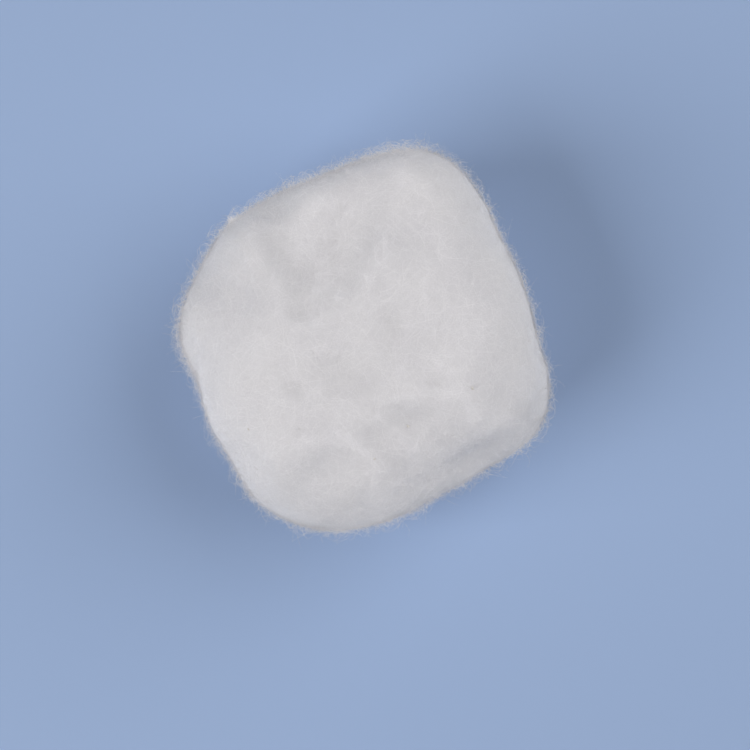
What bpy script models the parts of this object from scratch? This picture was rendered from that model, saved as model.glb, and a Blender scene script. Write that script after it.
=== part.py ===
"""A cotton ball: one soft wad of bleached cotton, pressed into a five-cornered pillow.

Metres, +Z up. X and Y are the ball's plan, seen from above. The origin is the middle of
the underside, at the bottom of the ball's box.
"""

import math
from collections import namedtuple

import bmesh
import bpy
from mathutils import Vector, noise

MM = 0.001

# Plan. Corners reach out of a round waist, each at a bearing in degrees from +X towards +Y.
# A corner's spread is the half angle over which it fades back into the waist.
Corner = namedtuple("Corner", "bearing reach spread")
WAIST_RADIUS = 16.1 * MM
CORNERS = (
    Corner(bearing=73, reach=3.7 * MM, spread=29),
    Corner(bearing=144, reach=2.3 * MM, spread=30),
    Corner(bearing=176, reach=1.6 * MM, spread=17),
    Corner(bearing=247, reach=3.0 * MM, spread=31),
    Corner(bearing=338, reach=2.8 * MM, spread=21),
)

# Section. The widest level has the crown above it and the belly below it. The surface that
# the ball rests on presses the bottom of the belly flat, and the belly curves up from there.
CROWN_HEIGHT = 11.4 * MM
BELLY_DEPTH = 10.4 * MM
PRESSED_DEPTH = 0.9 * MM
PRESSED_EASE = 0.4 * MM
PRESSED_SLACK = 0.03 * MM  # what would stand less than this off the surface lies on it
CROWN_SHIFT_X = -1.6 * MM
CROWN_SHIFT_Y = 0.6 * MM
SECTION_FULLNESS = 2.45  # 2 gives an ellipse, and more gives squarer shoulders

# Relief on the crown, in plan. Its lengths are shares of the waist radius, because it is a
# pattern that keeps its place on the crown. A swell has a height above zero, and a hollow one
# below.
Swell = namedtuple("Swell", "x y radius height")
SWELLS = (
    Swell(x=-0.289, y=0.455, radius=0.155, height=-0.050),  # dip in the hollow's floor
    Swell(x=-0.271, y=0.617, radius=0.167, height=-0.082),  # deepest part of the hollow
    Swell(x=-0.742, y=0.319, radius=0.240, height=-0.049),  # dent by the left corner
    Swell(x=-0.830, y=-0.327, radius=0.268, height=0.074),  # full left shoulder
    Swell(x=0.410, y=0.938, radius=0.373, height=0.082),  # full top corner
    Swell(x=-0.506, y=-0.607, radius=0.303, height=0.092),  # rise over the bottom corner
    Swell(x=-0.115, y=-0.598, radius=0.284, height=0.079),  # rise along the folded ridge
    Swell(x=0.676, y=-0.840, radius=0.373, height=-0.088),  # fall towards the lower right side
    Swell(x=0.443, y=0.195, radius=0.231, height=-0.036),  # flat to the right of the middle
    Swell(x=-0.596, y=0.059, radius=0.373, height=0.074),  # bulge beside the hollow
    Swell(x=-0.250, y=0.754, radius=0.124, height=-0.040),  # the hollow's far end
    Swell(x=0.251, y=0.763, radius=0.219, height=-0.073),  # saddle behind the top corner
    Swell(x=0.167, y=-0.273, radius=0.124, height=0.041),  # end of the folded ridge
    Swell(x=0.508, y=-0.376, radius=0.285, height=0.075),  # full lower right shoulder
    Swell(x=0.768, y=0.221, radius=0.373, height=0.086),  # full right shoulder
    Swell(x=-0.612, y=0.527, radius=0.124, height=0.036),  # rise between the creases
)

# Creases where the cotton was folded in. Each runs in plan from a start to an end.
Crease = namedtuple("Crease", "start end width depth")
CREASES = (
    Crease(start=(-0.035, 0.856), end=(-0.110, 0.838), width=0.124, depth=0.055),
    Crease(start=(-0.036, 0.676), end=(-0.129, 0.435), width=0.131, depth=0.055),
    Crease(start=(-0.571, 0.829), end=(-0.569, 0.539), width=0.107, depth=0.052),
    Crease(start=(-0.493, 0.651), end=(-0.354, 0.267), width=0.110, depth=0.046),
    Crease(start=(-0.254, -0.680), end=(0.410, -0.430), width=0.143, depth=0.038),
)
RELIEF_EASE = 0.55  # the relief fades out below this share of the crown's height

# Soft unevenness of the whole wad.
LUMP_SPACING = 5.5 * MM
LUMP_HEIGHT = 0.28 * MM

CELLS = 26  # faces along a quarter of the way round
NODE_NAME = "cotton_ball"


def corner_reach(corner, bearing):
    """How far one corner pushes the plan's outline out at a bearing in radians."""
    away = math.remainder(bearing - math.radians(corner.bearing), math.tau)
    return corner.reach * math.exp(-((away / math.radians(corner.spread)) ** 2))


def outline_radius(bearing):
    """The plan's outline, from the middle of the waist."""
    return WAIST_RADIUS + sum(corner_reach(corner, bearing) for corner in CORNERS)


def pillow_point(direction):
    """The smooth pillow's surface in a direction from the middle of its widest level."""
    across = math.hypot(direction.x, direction.y)
    fullness = (across**SECTION_FULLNESS + abs(direction.z) ** SECTION_FULLNESS) ** (
        -1 / SECTION_FULLNESS
    )
    widening = fullness * outline_radius(math.atan2(direction.y, direction.x))
    half_height = CROWN_HEIGHT if direction.z > 0 else BELLY_DEPTH
    point = Vector(
        (
            direction.x * widening,
            direction.y * widening,
            direction.z * fullness * half_height,
        )
    )
    if point.z > 0:
        lean = (point.z / CROWN_HEIGHT) ** 2
        point.x += CROWN_SHIFT_X * lean
        point.y += CROWN_SHIFT_Y * lean
    return point


def rounded(cube_point):
    """A point of a cube that reaches from -1 to 1, moved onto a ball with even spacing."""
    x, y, z = (c * c for c in cube_point)
    return Vector(
        (
            cube_point.x * math.sqrt(1 - y / 2 - z / 2 + y * z / 3),
            cube_point.y * math.sqrt(1 - z / 2 - x / 2 + z * x / 3),
            cube_point.z * math.sqrt(1 - x / 2 - y / 2 + x * y / 3),
        )
    )


def bump(distance, radius):
    """A smooth rise of 1 at no distance that fades out past the radius."""
    return math.exp(-((distance / radius) ** 2))


def crease_distance(crease, plan_point):
    """How far a point of the plan is from a crease's line."""
    start = Vector(crease.start)
    run = Vector(crease.end) - start
    share = (plan_point - start).dot(run) / run.length_squared
    return (plan_point - start - run * min(max(share, 0), 1)).length


def pressed(height):
    """A height above the resting surface, once the weight of the ball has flattened the belly."""
    if height <= 0:
        return 0
    if height < PRESSED_EASE:
        height = height**2 / (2 * PRESSED_EASE)
    else:
        height -= PRESSED_EASE / 2
    return height if height > PRESSED_SLACK else 0


def relief(point):
    """How far the wad stands out of the smooth pillow at a point of it."""
    plan_point = point.to_2d() / WAIST_RADIUS
    crown = 0
    for swell in SWELLS:
        away = (plan_point - Vector((swell.x, swell.y))).length
        crown += swell.height * bump(away, swell.radius)
    for crease in CREASES:
        crown -= crease.depth * bump(crease_distance(crease, plan_point), crease.width)
    # The crown's relief fades out on the way down to the widest level.
    risen = min(max(point.z / (RELIEF_EASE * CROWN_HEIGHT), 0), 1)
    crown *= WAIST_RADIUS * risen * risen * (3 - 2 * risen)
    return crown + LUMP_HEIGHT * noise.noise(point / LUMP_SPACING)


def make_wad():
    """The wad's mesh: a cube's even grid, rounded, filled out, given its relief and set down."""
    wad = bmesh.new()
    bmesh.ops.create_cube(wad, size=2)
    bmesh.ops.subdivide_edges(wad, edges=wad.edges[:], cuts=CELLS - 1, use_grid_fill=True)
    for vert in wad.verts:
        vert.co = pillow_point(rounded(vert.co))
    wad.normal_update()
    moves = [vert.normal * relief(vert.co) for vert in wad.verts]
    for vert, move in zip(wad.verts, moves):
        vert.co += move
        vert.co.z = pressed(vert.co.z + BELLY_DEPTH - PRESSED_DEPTH)
    xs = [vert.co.x for vert in wad.verts]
    ys = [vert.co.y for vert in wad.verts]
    middle = Vector(((min(xs) + max(xs)) / 2, (min(ys) + max(ys)) / 2, 0))
    bmesh.ops.translate(wad, verts=wad.verts[:], vec=-middle)
    mesh = bpy.data.meshes.new(NODE_NAME)
    wad.to_mesh(mesh)
    wad.free()
    mesh.shade_smooth()
    return mesh


def make_cotton():
    """Bleached absorbent cotton: white and fully matt."""
    cotton = bpy.data.materials.new("bleached_cotton")
    cotton.use_nodes = True
    shader = cotton.node_tree.nodes["Principled BSDF"]
    shader.inputs["Base Color"].default_value = (0.83, 0.82, 0.82, 1)
    shader.inputs["Roughness"].default_value = 0.95
    shader.inputs["Metallic"].default_value = 0
    return cotton


def main():
    for old in list(bpy.data.objects):
        bpy.data.objects.remove(old)
    collection = bpy.data.collections.new("Cotton ball")
    bpy.context.scene.collection.children.link(collection)
    ball = bpy.data.objects.new(NODE_NAME, make_wad())
    ball.data.materials.append(make_cotton())
    collection.objects.link(ball)


main()
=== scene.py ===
"""A bleached cotton ball on a plain pale floor, seen from straight above.

Metres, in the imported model's own frame: the ball rests at z = 0 with its middle at the
origin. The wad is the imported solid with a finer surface. Over it lie thin ribbons for the
cotton's fibres: a web that covers the wad, fuzz that stands out of the web, and loose ends.
"""

import math
import random

import bmesh
import bpy
import numpy as np
from mathutils import Matrix, Vector, noise
from mathutils.bvhtree import BVHTree


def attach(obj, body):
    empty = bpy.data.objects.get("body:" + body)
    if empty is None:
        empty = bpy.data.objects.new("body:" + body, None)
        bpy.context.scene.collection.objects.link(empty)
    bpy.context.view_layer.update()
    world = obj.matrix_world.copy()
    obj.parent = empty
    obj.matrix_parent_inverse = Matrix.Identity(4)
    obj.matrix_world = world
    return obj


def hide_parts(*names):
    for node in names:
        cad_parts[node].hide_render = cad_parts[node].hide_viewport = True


MM = 0.001
SEED = 11
BODY = "root"
NODE = "cotton_ball"

# The photograph looks straight down, and is 750 pixels wide.
PICTURE_PIXELS = 750
PIXEL = 0.0992 * MM
BALL_MIDDLE_PIXEL = (366.0, 341.5)
WIDEST_LEVEL = 9.5 * MM
LENS_MM = 100
SENSOR_MM = 36

# Two soft boxes stand on opposite sides, as the two shadows in the photograph show. Bearings
# and heights are in degrees, and distances and sides in metres.
LIGHT_DISTANCE = 0.5
KEY_BEARING, KEY_HEIGHT, KEY_SIDE, KEY_WATTS = 203, 37, 0.36, 1.95
FILL_BEARING, FILL_HEIGHT, FILL_SIDE, FILL_WATTS = 23, 37, 0.60, 2.30
ROOM_STRENGTH = 0.03
FLOOR_COLOUR = "#A3B9DD"
FLOOR_DROP = 0.02 * MM  # below the surface that the ball rests on
FLOOR_REACH = 3  # metres from the middle to each side

# The wad's own surface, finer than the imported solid's.
SEAM = 0.001 * MM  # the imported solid's triangles are joined where they meet this closely
WAD_CELL = 0.30 * MM
WAD_SMOOTHING = 6  # rounds that take off the steps between its cells
GRAIN_ROUNDS, FOLD_ROUNDS, SWELL_ROUNDS = 50, 400, 900  # rounds of smoothing that take each off
FOLD_GAIN = 0.95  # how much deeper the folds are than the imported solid's, as a share
CREST_START, CREST_EASE = -0.1, 0.4  # folds deepen where the surface faces up more than this
WAD_SINK = 0.22 * MM  # the web makes up the ball's outermost part, this deep
FIBRE_ROOT = 0.06 * MM  # how deep a fibre's ends are tucked into the wad
PILL_SPACING, PILL_HEIGHT = 2.4 * MM, 0.08 * MM
WISP_SPACING, WISP_HEIGHT = 0.9 * MM, 0.035 * MM
PATCH_FADE = 1.5 * MM  # the flat patch underneath stays smooth up to this height
PATCH_LEVEL = 0.2 * MM  # the web is thinner under this height
SOAK_DEPTH = 1.8 * MM  # how far light soaks through the cotton

# Cotton fibres are ribbons 0.012 to 0.020 mm wide. They are drawn a little wider, so that
# they show at a tenth of a millimetre to the pixel.
WEB_WIDTH = 0.022 * MM
FUZZ_WIDTH = 0.023 * MM
LOOSE_WIDTH = 0.024 * MM
FLOOR_GAP = 0.03 * MM
LEAST_STEP = 0.015 * MM  # Blender joins a curve's points where they are closer than 0.01 mm

WEB_PIECES = 2
WEB_FIBRES = 13500  # in each piece
WEB_STEPS = 7
WEB_LENGTHS = 2.0, 5.0  # shortest and longest, in millimetres
WEB_RISE, WEB_MOST_RISE = 0.12 * MM, 0.35 * MM  # usual and most
WEB_STRAY, WEB_WANDER = 1.1, 0.12  # radians off the lie of the cotton, and of bend at a step
WEB_ON_PATCH = 0.5  # how much of the web the flat patch underneath has, as a share
FUZZ_PIECES = 2
FUZZ_FIBRES = 16000  # in each piece
FUZZ_STEPS = 6
FUZZ_LOOPS = 0.6  # the share of the fuzz that loops back to the wad
FUZZ_LOOP_LENGTHS, FUZZ_END_LENGTHS = (1.5, 3.0), (1.2, 2.2)  # shortest and longest, in rises
FUZZ_LOOP_STRAY, FUZZ_LOOP_WANDER = 1.5, 0.2  # radians
FUZZ_END_SLOPES, FUZZ_END_BEND = (0.3, 1.2), 0.4  # radians off the wad, and of bend at a step
FUZZ_RISE, FUZZ_MOST_RISE = 0.26 * MM, 1.2 * MM  # where the outline is even
FRAYED_RISE = 0.10 * MM  # added to the usual rise where the outline is most frayed
FLYAWAYS = 420
FLYAWAY_STEPS = 14
FLYAWAY_LENGTHS = 1.6, 3.6  # shortest and longest, in millimetres
FLYAWAY_SLOPES, FLYAWAY_BEND = (0.1, 0.7), 0.14  # radians
BEND_DRIFT = 0.35  # how fast the way that a loose fibre bends changes, as a share
SWIRL_SPACING = 12 * MM  # how slowly the lie of the fibres turns over the ball
SWIRL_DRAW = Vector((0.05, 0.1, 0.02))  # the way that the cotton was drawn when it was carded
TWISTS = 14  # full turns along a fibre
PAINTED_GLINT_TONE = 0.35  # how much of a fibre's tone is the painted glint of its twist, as a share
TAPER = 0.45  # a fibre's width at its ends, as a share of its middle's
TWIST = 1.1  # radians from one point of a loose fibre to the next
LEAN = 0.4  # radians that a lying fibre leans off the wad's surface, by chance
# How much of a fibre's shading follows its own facing, and not the wad's, as a share.
LAID_GLINT, LOOSE_GLINT = 0.15, 0.4
# How far the side that a fibre takes light from is lifted off the wad's side towards the light
# from above, which soaks down into loose cotton.
LAID_LIFT, LOOSE_LIFT = 0.2, 1.2

# Small knots of fibre, called neps, that carding leaves in cotton.
NEPS = 18
NEP_FIBRES = 26
NEP_RADIUS = 0.26 * MM
NEP_SIZES = 0.6, 1.1  # least and most, as shares of the radius
NEP_STEPS = 6
NEP_WINDING = 0.9  # how far a fibre goes round a nep at a step, in radii
NEP_PACKING = 0.5, 1.0  # how near the middle it comes: least and most, as shares of the radius
NEP_SEAT = 0.8  # how far up the web's depth a nep's middle is, as a share
NEP_LOWEST = 4 * MM
MIDDLE_NEP = (-0.33 * MM, 0.91 * MM)  # the plan place of the one in the middle of the crown

# The pinched tuft by the upper left corner, and the fibre that loops off the right side.
TUFT_FOOT = (-12.8 * MM, 11.3 * MM, 12.2 * MM)
TUFT_REACH = Vector((-0.05, 0.15, 0.45)) * MM
TUFT_FIBRES = 170
TUFT_RADIUS = 0.65 * MM
TUFT_RISE = 0.55 * MM  # how far the wad itself is drawn out under the tuft
TUFT_REACHES = 0.45, 1.1  # least and most, as shares of the reach
TUFT_STEPS = 5
TUFT_FLARE = 1.3  # how wide it starts, in radii
TUFT_NARROWING = 0.3  # how much of its width it loses towards the point, as a share
TUFT_WAVER = 0.15  # how far its fibres stray halfway up, in millimetres
TUFT_PAINTED_HIGHLIGHT = 0.8  # the least tone of its fibres: a painted highlight, for the light that the packed tuft catches
LOOP = (  # in millimetres, in plan
    (14.75, 7.1), (15.25, 6.75), (15.65, 6.35), (15.85, 5.9),
    (15.86, 5.4), (15.70, 4.95), (15.35, 4.6),
)
LOOP_LEVEL = 9.5 * MM
LOOP_STRAND = Vector((0.02, 0.03, 0.1)) * MM  # from one to the other of its two strands

# Specks of seed coat among the fibres of the crown: plan place and length in millimetres,
# and bearing in degrees.
FLECKS = (
    (10.03, -4.55, 0.42, 30),
    (4.00, -8.13, 0.36, 110),
    (0.80, -11.23, 0.28, 70),
    (-10.97, -8.41, 0.30, 10),
)
FLECK_SINK = 0.08 * MM  # under the top of the web
FLECK_SHAPE = Vector((1, 0.6, 0.22))  # length, width and thickness, as shares of the length
FLECK_CURL = 0.5  # how far its ends curl up
FLECK_WARP, FLECK_LUMPS = 0.35, 3  # how uneven it is, and how finely

# How much fuzz the outline has where it is even, as a share of where it is most frayed.
EVEN_FUZZ = 0.65
# The crown and the underside lie smooth, with this share of the sides' fuzz. It fades in from
# where the surface starts to face up or down this much.
SMOOTH_FUZZ = 0.35
SMOOTH_START, SMOOTH_EASE = 0.05, 0.5
# Where the outline is frayed: a bearing in degrees, a spread in degrees and how badly.
FRAYED = (
    (74, 12, 1.0),
    (122, 24, 0.9),
    (178, 16, 0.8),
)
OVERHEAD = 0.1  # metres up, from where places on the crown are looked for

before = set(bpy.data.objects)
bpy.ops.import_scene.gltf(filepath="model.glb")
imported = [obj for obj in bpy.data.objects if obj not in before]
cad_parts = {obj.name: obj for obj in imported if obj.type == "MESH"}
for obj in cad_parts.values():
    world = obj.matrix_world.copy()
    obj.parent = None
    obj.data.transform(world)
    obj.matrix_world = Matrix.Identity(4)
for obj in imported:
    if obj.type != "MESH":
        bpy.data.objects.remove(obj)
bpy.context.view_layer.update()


def linear(code):
    """A colour written as sRGB hex, as the linear colour that shaders take."""
    parts = [int(code[i:i + 2], 16) / 255 for i in (1, 3, 5)]
    return tuple(
        part / 12.92 if part <= 0.04045 else ((part + 0.055) / 1.055) ** 2.4 for part in parts
    ) + (1,)


def add_node(tree, kind, settings=None, **inputs):
    """Adds a node. An input's name has _ for a space, and it takes a value or a socket."""
    node = tree.nodes.new(kind)
    for name, value in (settings or {}).items():
        setattr(node, name, value)
    for name, value in inputs.items():
        socket = node.inputs[name.replace("_", " ")]
        if isinstance(value, bpy.types.NodeSocket):
            tree.links.new(value, socket)
        else:
            socket.default_value = value
    return node


def cotton_shader(name, roughness, sheen, subsurface=0):
    """A material with a matt white shader: cotton scatters light and hardly shines."""
    material = bpy.data.materials.new(name)
    material.use_nodes = True
    shader = material.node_tree.nodes["Principled BSDF"]
    shader.inputs["Roughness"].default_value = roughness
    shader.inputs["Specular IOR Level"].default_value = 0.25
    shader.inputs["Sheen Weight"].default_value = sheen
    shader.inputs["Sheen Roughness"].default_value = 0.6
    shader.inputs["Subsurface Weight"].default_value = subsurface
    shader.inputs["Subsurface Radius"].default_value = (1.0, 1.0, 1.0)
    shader.inputs["Subsurface Scale"].default_value = SOAK_DEPTH
    return material, material.node_tree, shader


def bleached_cotton_wad():
    """Bleached absorbent cotton, carded and pressed: cloudy white, fibrous and fully matt."""
    material, tree, shader = cotton_shader("bleached_cotton_wad", roughness=0.95, sheen=0.2,
                                           subsurface=1.0)
    here = add_node(tree, "ShaderNodeTexCoord").outputs["Object"]
    # Clouds of thinner and thicker cotton, 6 mm across.
    clouds = add_node(tree, "ShaderNodeTexNoise", Vector=here, Scale=1 / (6 * MM), Detail=2.0)
    # Matted fibres, drawn 0.2 mm wide because real ones are a tenth of that.
    mat = add_node(tree, "ShaderNodeTexNoise", Vector=here, Scale=1 / (0.2 * MM), Detail=3.0,
                   Distortion=1.5)
    tint = add_node(tree, "ShaderNodeMix", {"data_type": "RGBA"}, Factor=clouds.outputs["Fac"],
                    A=linear("#DEDCE0"), B=linear("#E9E7E8"))
    # Where the mat's bump sinks, its colour is darker: painted shade between the matted fibres.
    painted_shade = add_node(tree, "ShaderNodeMapRange", Value=mat.outputs["Fac"], From_Min=0.3,
                     From_Max=0.7, To_Min=0.93, To_Max=1.0)
    colour = add_node(tree, "ShaderNodeMix", {"data_type": "RGBA", "blend_type": "MULTIPLY"},
                      Factor=1, A=tint.outputs["Result"], B=painted_shade.outputs["Result"])
    tree.links.new(colour.outputs["Result"], shader.inputs["Base Color"])
    gloss = add_node(tree, "ShaderNodeMapRange", Value=mat.outputs["Fac"], To_Min=1.0, To_Max=0.9)
    tree.links.new(gloss.outputs["Result"], shader.inputs["Roughness"])
    bump = add_node(tree, "ShaderNodeBump", Height=mat.outputs["Fac"], Strength=0.3,
                    Distance=0.03 * MM)
    tree.links.new(bump.outputs["Normal"], shader.inputs["Normal"])
    return material


def cotton_fibre(name, glint):
    """A single bleached fibre: a flat hollow ribbon, twisted about every 0.2 mm, with its glint
    painted into its colour.

    Cotton scatters light from fibre to fibre, so a fibre is about as bright as the wad that it
    lies on. Its shading follows the side that it takes light from: the wad's own side, lifted
    towards the light from above, which each ribbon carries as an attribute. Glint is the share
    that follows the ribbon's own facing instead.
    """
    material, tree, shader = cotton_shader(name, roughness=0.7, sheen=0.1)
    along = add_node(tree, "ShaderNodeSeparateXYZ",
                     Vector=add_node(tree, "ShaderNodeTexCoord").outputs["UV"]).outputs["X"]
    # The twist shows the flat side and the edge in turn: a painted glint, light and dark bands in
    # the fibre's colour, and its roughness changes with it.
    phase = add_node(tree, "ShaderNodeMath", {"operation": "MULTIPLY"})
    tree.links.new(along, phase.inputs[0])
    phase.inputs[1].default_value = TWISTS * math.tau
    turn = add_node(tree, "ShaderNodeMath", {"operation": "SINE"})
    tree.links.new(phase.outputs["Value"], turn.inputs[0])
    painted_glint = add_node(tree, "ShaderNodeMapRange", Value=turn.outputs["Value"], From_Min=-1.0,
                     To_Max=PAINTED_GLINT_TONE)
    # Each fibre has its own tone, from thin and clear to thick and white.
    thickness = add_node(tree, "ShaderNodeAttribute", {"attribute_name": "thickness"})
    # A fibre's tone is its own tone with the painted glint of its twist added.
    tone_and_glint = add_node(tree, "ShaderNodeMath", {"operation": "MULTIPLY_ADD"})
    tree.links.new(thickness.outputs["Fac"], tone_and_glint.inputs[0])
    tone_and_glint.inputs[1].default_value = 1 - PAINTED_GLINT_TONE
    tree.links.new(painted_glint.outputs["Result"], tone_and_glint.inputs[2])
    colour = add_node(tree, "ShaderNodeMix", {"data_type": "RGBA"}, Factor=tone_and_glint.outputs["Value"],
                      A=linear("#D3D1D4"), B=linear("#F8F6F8"))
    tree.links.new(colour.outputs["Result"], shader.inputs["Base Color"])
    gloss = add_node(tree, "ShaderNodeMapRange", Value=turn.outputs["Value"], From_Min=-1.0,
                     To_Min=0.85, To_Max=0.6)
    tree.links.new(gloss.outputs["Result"], shader.inputs["Roughness"])
    lit_side = add_node(tree, "ShaderNodeAttribute", {"attribute_name": "lit_side"})
    facing = add_node(tree, "ShaderNodeVectorTransform",
                      {"vector_type": "NORMAL", "convert_from": "OBJECT", "convert_to": "WORLD"},
                      Vector=lit_side.outputs["Vector"])
    own = add_node(tree, "ShaderNodeNewGeometry").outputs["True Normal"]
    between = add_node(tree, "ShaderNodeMix", {"data_type": "VECTOR"}, Factor=glint,
                       A=facing.outputs["Vector"], B=own)
    level = add_node(tree, "ShaderNodeVectorMath", {"operation": "NORMALIZE"},
                     Vector=between.outputs["Result"])
    tree.links.new(level.outputs["Vector"], shader.inputs["Normal"])
    return material


def seed_coat():
    """A crumb of cotton seed's coat, bleached with the cotton: pale, dull and uneven."""
    material, tree, shader = cotton_shader("bleached_seed_coat", roughness=0.8, sheen=0)
    here = add_node(tree, "ShaderNodeTexCoord").outputs["Object"]
    grain = add_node(tree, "ShaderNodeTexNoise", Vector=here, Scale=1 / (0.08 * MM), Detail=2.0)
    colour = add_node(tree, "ShaderNodeMix", {"data_type": "RGBA"}, Factor=grain.outputs["Fac"],
                      A=linear("#D5CFC9"), B=linear("#DFDAD5"))
    tree.links.new(colour.outputs["Result"], shader.inputs["Base Color"])
    return material


def material_of(piece, material):
    piece.data.materials.clear()
    piece.data.materials.append(material)


def belongs(piece):
    """A piece of the cotton ball: it rides on the one body."""
    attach(piece, BODY)


def faded(share):
    """0 to 1, easing in and out."""
    share = min(max(share, 0), 1)
    return share * share * (3 - 2 * share)


def smoothed(values, edges, rounds):
    """Each vert's values after rounds in which they move halfway to their neighbours' mean."""
    a, b = edges[:, 0], edges[:, 1]
    near = np.bincount(a, minlength=len(values)) + np.bincount(b, minlength=len(values))
    values = values.copy()
    for _ in range(rounds):
        for column in range(values.shape[1]):
            row = values[:, column]
            around = np.bincount(a, row[b], len(row)) + np.bincount(b, row[a], len(row))
            values[:, column] = (row + around / near) / 2
    return values


def finished_mesh(maker):
    """The mesh that an object with a modifier, or a curve, makes."""
    depsgraph = bpy.context.evaluated_depsgraph_get()
    return bpy.data.meshes.new_from_object(maker.evaluated_get(depsgraph))


def make_wad():
    """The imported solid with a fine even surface: its folds deepened, pilled and wispy."""
    rough = bmesh.new()
    rough.from_mesh(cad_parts[NODE].data)
    bmesh.ops.remove_doubles(rough, verts=rough.verts[:], dist=SEAM)
    mesh = bpy.data.meshes.new("rough_wad")
    rough.to_mesh(mesh)
    rough.free()
    solid = bpy.data.objects.new("rough_wad", mesh)
    bpy.context.scene.collection.objects.link(solid)
    remesh = solid.modifiers.new("even_cells", "REMESH")
    remesh.mode = "VOXEL"
    remesh.voxel_size = WAD_CELL
    even = finished_mesh(solid)
    bpy.data.objects.remove(solid)

    wad = bmesh.new()
    wad.from_mesh(even)
    for _ in range(WAD_SMOOTHING):
        bmesh.ops.smooth_vert(wad, verts=wad.verts[:], factor=0.5, use_axis_x=True,
                              use_axis_y=True, use_axis_z=True)
    wad.normal_update()
    places = np.array([vert.co for vert in wad.verts])
    edges = np.array([[vert.index for vert in edge.verts] for edge in wad.edges])
    normals = np.array([vert.normal for vert in wad.verts])
    even_places = smoothed(places, edges, GRAIN_ROUNDS)
    stands_out = even_places - smoothed(even_places, edges, FOLD_ROUNDS)
    stands_out = (stands_out * normals).sum(axis=1, keepdims=True)
    folds = (stands_out - smoothed(stands_out, edges, SWELL_ROUNDS)).ravel() * FOLD_GAIN
    moves = []
    for vert, fold in zip(wad.verts, folds.tolist()):
        pills = PILL_HEIGHT * noise.noise(vert.co / PILL_SPACING)
        wisps = WISP_HEIGHT * noise.noise(vert.co / WISP_SPACING)
        drawn = TUFT_RISE * math.exp(-((vert.co - Vector(TUFT_FOOT)).length / TUFT_RADIUS) ** 2)
        crown = faded((vert.normal.z - CREST_START) / CREST_EASE)
        off_patch = faded(vert.co.z / PATCH_FADE)
        moves.append((fold * crown + pills + wisps + drawn - WAD_SINK) * off_patch)
    for vert, move in zip(wad.verts, moves):
        vert.co += vert.normal * move
        vert.co.z = max(vert.co.z, 0)
    wad.to_mesh(even)
    wad.free()
    even.shade_smooth()
    piece = bpy.data.objects.new("cotton_wad", even)
    bpy.context.scene.collection.objects.link(piece)
    material_of(piece, bleached_cotton_wad())
    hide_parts(NODE)
    belongs(piece)
    return piece


def surface_of(piece):
    """The wad's search tree and verts' places, and its triangles' corners and areas."""
    mesh = piece.data
    mesh.calc_loop_triangles()
    count = len(mesh.loop_triangles)
    corners = np.empty(count * 3, np.int32)
    areas = np.empty(count, np.float32)
    mesh.loop_triangles.foreach_get("vertices", corners)
    mesh.loop_triangles.foreach_get("area", areas)
    corners = corners.reshape(-1, 3)
    places = np.empty(len(mesh.vertices) * 3, np.float32)
    mesh.vertices.foreach_get("co", places)
    places = places.reshape(-1, 3)
    tree = BVHTree.FromPolygons(places.tolist(), corners.tolist())
    return tree, places, corners, areas


def scattered(surface, count, chance):
    """Evenly scattered places on the wad, each kept with a chance that depends on the place."""
    _, places, corners, areas = surface
    running = np.cumsum(areas, dtype=np.float64)
    found = []
    while len(found) < count:
        triangle = corners[np.searchsorted(running, rng.random() * running[-1])]
        a, b = rng.random(), rng.random()
        if a + b > 1:
            a, b = 1 - a, 1 - b
        p, q, r = (Vector(places[i]) for i in triangle)
        place = p + (q - p) * a + (r - p) * b
        if rng.random() < chance(place, (q - p).cross(r - p).normalized()):
            found.append(place)
    return found


def lie_of_cotton(place, up):
    """The way most fibres lie at a place on the wad."""
    swirl = noise.noise_vector(place / SWIRL_SPACING) + SWIRL_DRAW
    return (swirl - up * swirl.dot(up)).normalized()


def turned(ahead, up, angle):
    """A direction along the surface, turned about the surface's normal."""
    return ahead * math.cos(angle) + up.cross(ahead) * math.sin(angle)


def laid_fibre(tree, start, length, steps, rise, stray, wander):
    """A fibre that lies on the wad: its ends are tucked in and its middle rises."""
    place, up, _, _ = tree.find_nearest(start)
    ahead = turned(lie_of_cotton(place, up), up, rng.gauss(0, stray))
    bend = rng.gauss(0, wander)
    path = []
    for step in range(steps + 1):
        path.append(place + up * (rise * math.sin(math.pi * step / steps) - FIBRE_ROOT))
        place, up, _, _ = tree.find_nearest(place + ahead * (length / steps))
        bend += rng.gauss(0, wander)
        ahead = turned(ahead, up, bend)
        ahead = (ahead - up * ahead.dot(up)).normalized()
    return path


def any_way():
    """A random direction."""
    return Vector((rng.gauss(0, 1), rng.gauss(0, 1), rng.gauss(0, 1))).normalized()


def loose_fibre(tree, start, length, steps, slope, wander):
    """A fibre that leaves the wad at a slope and bends about in the air."""
    place, up, _, _ = tree.find_nearest(start)
    along = turned(lie_of_cotton(place, up), up, rng.uniform(0, math.tau))
    ahead = (along * math.cos(slope) + up * math.sin(slope)).normalized()
    place = place - ahead * (length / steps)
    axis = any_way()
    bend = rng.gauss(0, wander)
    path = []
    for step in range(steps + 1):
        path.append(place.copy())
        place = place + ahead * (length / steps)
        axis = (axis + any_way() * BEND_DRIFT).normalized()
        ahead = (ahead + axis.cross(ahead) * bend).normalized()
    return path


def frayed(place):
    """How frayed the outline is at a place's bearing, from 0 to 1."""
    bearing = math.degrees(math.atan2(place.y, place.x))
    share = 0
    for middle, spread, much in FRAYED:
        away = math.remainder(bearing - middle, 360) / spread
        share += much * math.exp(-away * away)
    return min(share, 1)


def fuzzy(place, up):
    """How likely fuzz is at a place: most where the photograph shows the outline frayed."""
    share = EVEN_FUZZ + (1 - EVEN_FUZZ) * frayed(place)
    level = faded((abs(up.z) - SMOOTH_START) / SMOOTH_EASE)
    return share * (1 - (1 - SMOOTH_FUZZ) * level)


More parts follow.
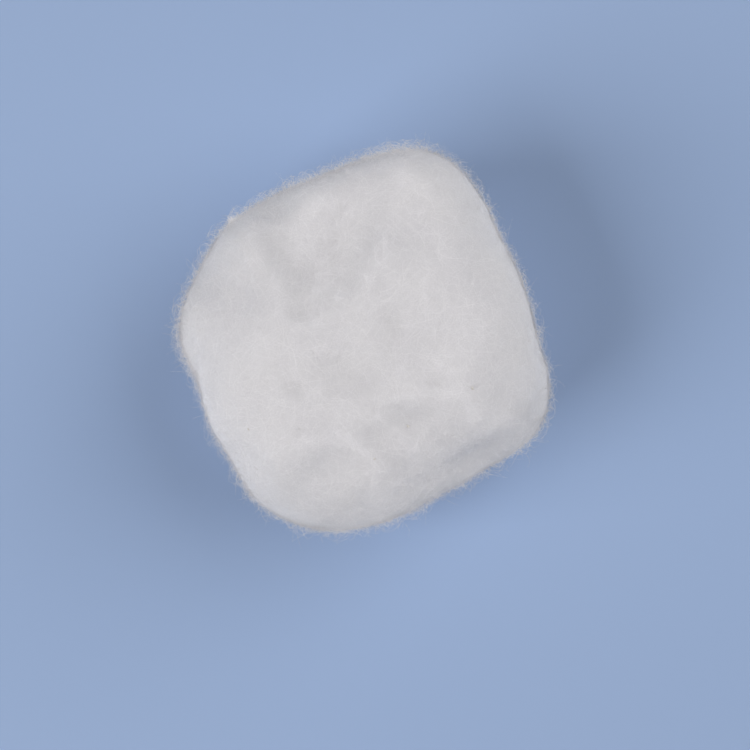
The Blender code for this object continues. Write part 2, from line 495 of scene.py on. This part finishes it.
def fibre_section():
    """A fibre's section: a flat line, as long as a circle of radius 1 is wide."""
    curve = bpy.data.curves.new("fibre_section", "CURVE")
    outline = curve.splines.new("POLY")
    outline.points.add(1)
    outline.points.foreach_set("co", [-1, 0, 0, 1, 1, 0, 0, 1])
    section = bpy.data.objects.new("fibre_section", curve)
    bpy.context.scene.collection.objects.link(section)
    return section


def flat_tilt(path, ups):
    """At each point of a path, the tilt that lays a curve's ribbon flat on the wad."""
    tilts = []
    for i, up in enumerate(ups):
        ahead = (path[min(i + 1, len(path) - 1)] - path[max(i - 1, 0)]).normalized()
        level = (Vector((0, 0, 1)) - ahead * ahead.z).normalized()
        tilts.append(math.atan2(up.dot(ahead.cross(level)), up.dot(level)))
    return tilts


def clear_of_floor(path):
    """A path lifted off the floor, without the points that a curve would join."""
    kept = []
    for place in path:
        place = Vector((place.x, place.y, max(place.z, FLOOR_GAP)))
        if not kept or (place - kept[-1]).length > LEAST_STEP:
            kept.append(place)
    return kept


def spun(name, paths, width, material, tree, flat=False, least_tone=0.0):
    """One piece of cotton: a ribbon along each path, which lies flat on the wad or twists."""
    curve = bpy.data.curves.new(name, "CURVE")
    curve.dimensions = "3D"
    curve.twist_mode = "Z_UP"
    curve.bevel_mode = "OBJECT"
    section = fibre_section()
    curve.bevel_object = section
    sides, tones = [], []
    for path in map(clear_of_floor, paths):
        last = len(path) - 1
        if last < 2:
            continue
        spline = curve.splines.new("POLY")
        spline.points.add(last)
        spline.points.foreach_set("co", [c for place in path for c in (*place, 1)])
        widths = [TAPER + (1 - TAPER) * math.sin(math.pi * i / last) for i in range(last + 1)]
        spline.points.foreach_set("radius", [w * width / 2 for w in widths])
        ups = [tree.find_nearest(place)[1] for place in path]
        if flat:
            lean = rng.gauss(0, LEAN)
            tilts = [tilt + lean for tilt in flat_tilt(path, ups)]
        else:
            turn = rng.uniform(0, math.tau)
            tilts = [turn + TWIST * i for i in range(last + 1)]
        spline.points.foreach_set("tilt", tilts)
        lift = Vector((0, 0, LAID_LIFT if flat else LOOSE_LIFT))
        sides += [(up + lift).normalized() for up in ups for _ in range(2)]
        tones += [rng.uniform(least_tone, 1)] * (2 * len(path))
    line = bpy.data.objects.new(name + "_line", curve)
    bpy.context.scene.collection.objects.link(line)
    mesh = finished_mesh(line)
    bpy.data.objects.remove(line)
    bpy.data.objects.remove(section)
    mesh.uv_layers[0].name = "OFBake"
    mesh.shade_smooth()
    mesh.normals_split_custom_set_from_vertices(sides)
    lit_side = mesh.attributes.new("lit_side", "FLOAT_VECTOR", "POINT")
    lit_side.data.foreach_set("vector", [c for side in sides for c in side])
    mesh.attributes.new("thickness", "FLOAT", "POINT").data.foreach_set("value", tones)
    piece = bpy.data.objects.new(name, mesh)
    bpy.context.scene.collection.objects.link(piece)
    piece.visible_shadow = False
    material_of(piece, material)
    belongs(piece)
    print(name, 2 * len(mesh.polygons), "triangles")


def risen(usual, most):
    """How far a fibre stands out: mostly little, and seldom much."""
    return min(rng.expovariate(1 / usual), most)


def make_web(surface, material):
    """Fibres that lie on the wad and cover it."""
    tree = surface[0]
    for number in range(1, WEB_PIECES + 1):
        starts = scattered(surface, WEB_FIBRES,
                           lambda place, up: 1 if place.z > PATCH_LEVEL else WEB_ON_PATCH)
        paths = [
            laid_fibre(tree, start, rng.uniform(*WEB_LENGTHS) * MM, WEB_STEPS,
                       FIBRE_ROOT + risen(WEB_RISE, WEB_MOST_RISE), WEB_STRAY, WEB_WANDER)
            for start in starts
        ]
        spun(f"web_{number}", paths, WEB_WIDTH, material, tree, flat=True)


def make_fuzz(surface, material):
    """Short ends and loops that stand out of the web."""
    tree = surface[0]
    for number in range(1, FUZZ_PIECES + 1):
        paths = []
        for start in scattered(surface, FUZZ_FIBRES, fuzzy):
            usual = FUZZ_RISE + FRAYED_RISE * frayed(start)
            rise = WAD_SINK / 2 + risen(usual, FUZZ_MOST_RISE)
            if rng.random() < FUZZ_LOOPS:
                paths.append(laid_fibre(tree, start, rng.uniform(*FUZZ_LOOP_LENGTHS) * rise,
                                        FUZZ_STEPS, rise, FUZZ_LOOP_STRAY, FUZZ_LOOP_WANDER))
            else:
                paths.append(loose_fibre(tree, start, rng.uniform(*FUZZ_END_LENGTHS) * rise,
                                         FUZZ_STEPS, rng.uniform(*FUZZ_END_SLOPES),
                                         FUZZ_END_BEND))
        spun(f"fuzz_{number}", paths, FUZZ_WIDTH, material, tree)


def make_flyaways(surface, material):
    """Long single fibres that stray into the air, and the one that loops off the right side."""
    tree = surface[0]
    paths = [
        loose_fibre(tree, start, rng.uniform(*FLYAWAY_LENGTHS) * MM, FLYAWAY_STEPS,
                    rng.uniform(*FLYAWAY_SLOPES), FLYAWAY_BEND)
        for start in scattered(surface, FLYAWAYS, fuzzy)
    ]
    loop = [Vector((x * MM, y * MM, LOOP_LEVEL)) for x, y in LOOP]
    paths.append(loop)
    paths.append([place + LOOP_STRAND for place in loop])
    spun("flyaways", paths, LOOSE_WIDTH, material, tree)


def on_crown(tree, x, y):
    """The place on the wad straight under a place in plan, and the surface's normal there."""
    place, up, _, _ = tree.ray_cast(Vector((x, y, OVERHEAD)), Vector((0, 0, -1)))
    return place, up


def make_neps(surface, material):
    """Tiny tangled knots that lie half sunk in the web."""
    tree = surface[0]
    places = [on_crown(tree, *MIDDLE_NEP)[0]]
    places += scattered(surface, NEPS - 1, lambda place, up: place.z > NEP_LOWEST)
    paths = []
    for place in places:
        place, up, _, _ = tree.find_nearest(place)
        middle = place + up * WAD_SINK * NEP_SEAT
        radius = NEP_RADIUS * rng.uniform(*NEP_SIZES)
        for _ in range(NEP_FIBRES):
            spot, axis = any_way() * radius, any_way()
            path = []
            for _ in range(NEP_STEPS + 1):
                path.append(middle + spot)
                wound = (spot + axis.cross(spot) * NEP_WINDING).normalized()
                spot = wound * radius * rng.uniform(*NEP_PACKING)
            paths.append(path)
    spun("neps", paths, WEB_WIDTH, material, tree, flat=True)


def make_tuft(surface, material):
    """Fibres drawn out of the wad between two fingers, to a soft point."""
    tree = surface[0]
    foot, up, _, _ = tree.find_nearest(Vector(TUFT_FOOT))
    paths = []
    for _ in range(TUFT_FIBRES):
        spread = any_way() * TUFT_RADIUS * math.sqrt(rng.random())
        start, _, _, _ = tree.find_nearest(foot + spread * TUFT_FLARE)
        start -= up * FIBRE_ROOT
        reach = rng.uniform(*TUFT_REACHES)
        end = foot + TUFT_REACH * reach + spread * (1 - TUFT_NARROWING * reach)
        waist = (start + end) / 2 + any_way() * TUFT_WAVER * MM
        shares = [step / TUFT_STEPS for step in range(TUFT_STEPS + 1)]
        paths.append([
            start.lerp(waist, share).lerp(waist.lerp(end, share), share) for share in shares
        ])
    # The tuft's fibres take only light tones: a painted highlight.
    spun("tuft", paths, WEB_WIDTH, material, tree, least_tone=TUFT_PAINTED_HIGHLIGHT)


def make_flecks(surface, material):
    """Crumbs of seed coat, flat and curled, just under the top fibres."""
    tree = surface[0]
    crumbs = bmesh.new()
    for x, y, length, bearing in FLECKS:
        place, up = on_crown(tree, x * MM, y * MM)
        made = bmesh.ops.create_icosphere(crumbs, subdivisions=2, radius=0.5)["verts"]
        for vert in made:
            vert.co *= 1 + FLECK_WARP * noise.noise(vert.co * FLECK_LUMPS + Vector((x, y, 0)))
            vert.co.z += FLECK_CURL * vert.co.x * vert.co.x
        bmesh.ops.scale(crumbs, verts=made, vec=FLECK_SHAPE * length * MM)
        bmesh.ops.rotate(crumbs, verts=made,
                         matrix=Matrix.Rotation(math.radians(bearing), 3, "Z"))
        bmesh.ops.rotate(crumbs, verts=made, matrix=up.to_track_quat("Z", "Y").to_matrix())
        bmesh.ops.translate(crumbs, verts=made, vec=place + up * (WAD_SINK - FLECK_SINK))
    mesh = bpy.data.meshes.new("seed_flecks")
    crumbs.to_mesh(mesh)
    crumbs.free()
    mesh.shade_smooth()
    piece = bpy.data.objects.new("seed_flecks", mesh)
    bpy.context.scene.collection.objects.link(piece)
    material_of(piece, material)
    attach(piece, BODY)


def make_camera():
    """Straight above, with the ball where the photograph has it."""
    data = bpy.data.cameras.new("camera")
    data.lens = LENS_MM
    data.sensor_width = SENSOR_MM
    data.clip_start = 5 * MM
    camera = bpy.data.objects.new("camera", data)
    bpy.context.scene.collection.objects.link(camera)
    middle = PICTURE_PIXELS / 2
    distance = PICTURE_PIXELS * PIXEL * LENS_MM / SENSOR_MM
    camera.location = (
        (middle - BALL_MIDDLE_PIXEL[0]) * PIXEL,
        (BALL_MIDDLE_PIXEL[1] - middle) * PIXEL,
        WIDEST_LEVEL + distance,
    )
    bpy.context.scene.camera = camera


def make_light(name, bearing, height, side, watts):
    """A soft box that faces the ball from a bearing and a height, both in degrees."""
    data = bpy.data.lights.new(name, "AREA")
    data.shape = "SQUARE"
    data.size = side
    data.energy = watts
    light = bpy.data.objects.new(name, data)
    bpy.context.scene.collection.objects.link(light)
    turn, rise = math.radians(bearing), math.radians(height)
    level = math.cos(rise)
    away = Vector((math.cos(turn) * level, math.sin(turn) * level, math.sin(rise)))
    light.location = away * LIGHT_DISTANCE
    light.rotation_euler = away.to_track_quat("Z", "Y").to_euler()


def make_floor():
    """A plain pale floor, just under the ball."""
    grid = bmesh.new()
    bmesh.ops.create_grid(grid, x_segments=1, y_segments=1, size=FLOOR_REACH)
    mesh = bpy.data.meshes.new("floor")
    grid.to_mesh(mesh)
    grid.free()
    floor = bpy.data.objects.new("floor", mesh)
    floor.location.z = -FLOOR_DROP
    bpy.context.scene.collection.objects.link(floor)
    material = bpy.data.materials.new("pale_floor")
    material.use_nodes = True
    shader = material.node_tree.nodes["Principled BSDF"]
    shader.inputs["Base Color"].default_value = linear(FLOOR_COLOUR)
    shader.inputs["Roughness"].default_value = 0.9
    shader.inputs["Specular IOR Level"].default_value = 0.1
    material_of(floor, material)


def make_room():
    """Even light from all round, and a plain pale background where the floor ends."""
    world = bpy.data.worlds.new("room")
    bpy.context.scene.world = world
    world.use_nodes = True
    tree = world.node_tree
    tree.nodes.clear()
    seen = add_node(tree, "ShaderNodeBackground", Color=linear(FLOOR_COLOUR), Strength=1.0)
    shed = add_node(tree, "ShaderNodeBackground", Color=linear("#FFFFFF"), Strength=ROOM_STRENGTH)
    ray = add_node(tree, "ShaderNodeLightPath")
    either = add_node(tree, "ShaderNodeMixShader")
    tree.links.new(ray.outputs["Is Camera Ray"], either.inputs[0])
    tree.links.new(shed.outputs["Background"], either.inputs[1])
    tree.links.new(seen.outputs["Background"], either.inputs[2])
    out = add_node(tree, "ShaderNodeOutputWorld")
    tree.links.new(either.outputs["Shader"], out.inputs["Surface"])


rng = random.Random(SEED)
noise.seed_set(SEED)  # Blender seeds noise_vector from the clock otherwise
bpy.context.scene.view_settings.view_transform = "Standard"
make_camera()
make_floor()
make_room()
make_light("key_light", KEY_BEARING, KEY_HEIGHT, KEY_SIDE, KEY_WATTS)
make_light("fill_light", FILL_BEARING, FILL_HEIGHT, FILL_SIDE, FILL_WATTS)
wad = make_wad()
wad_surface = surface_of(wad)
laid = cotton_fibre("laid_cotton_fibre", LAID_GLINT)
loose = cotton_fibre("loose_cotton_fibre", LOOSE_GLINT)
make_web(wad_surface, laid)
make_fuzz(wad_surface, loose)
make_flyaways(wad_surface, loose)
make_neps(wad_surface, laid)
make_tuft(wad_surface, loose)
make_flecks(wad_surface, seed_coat())
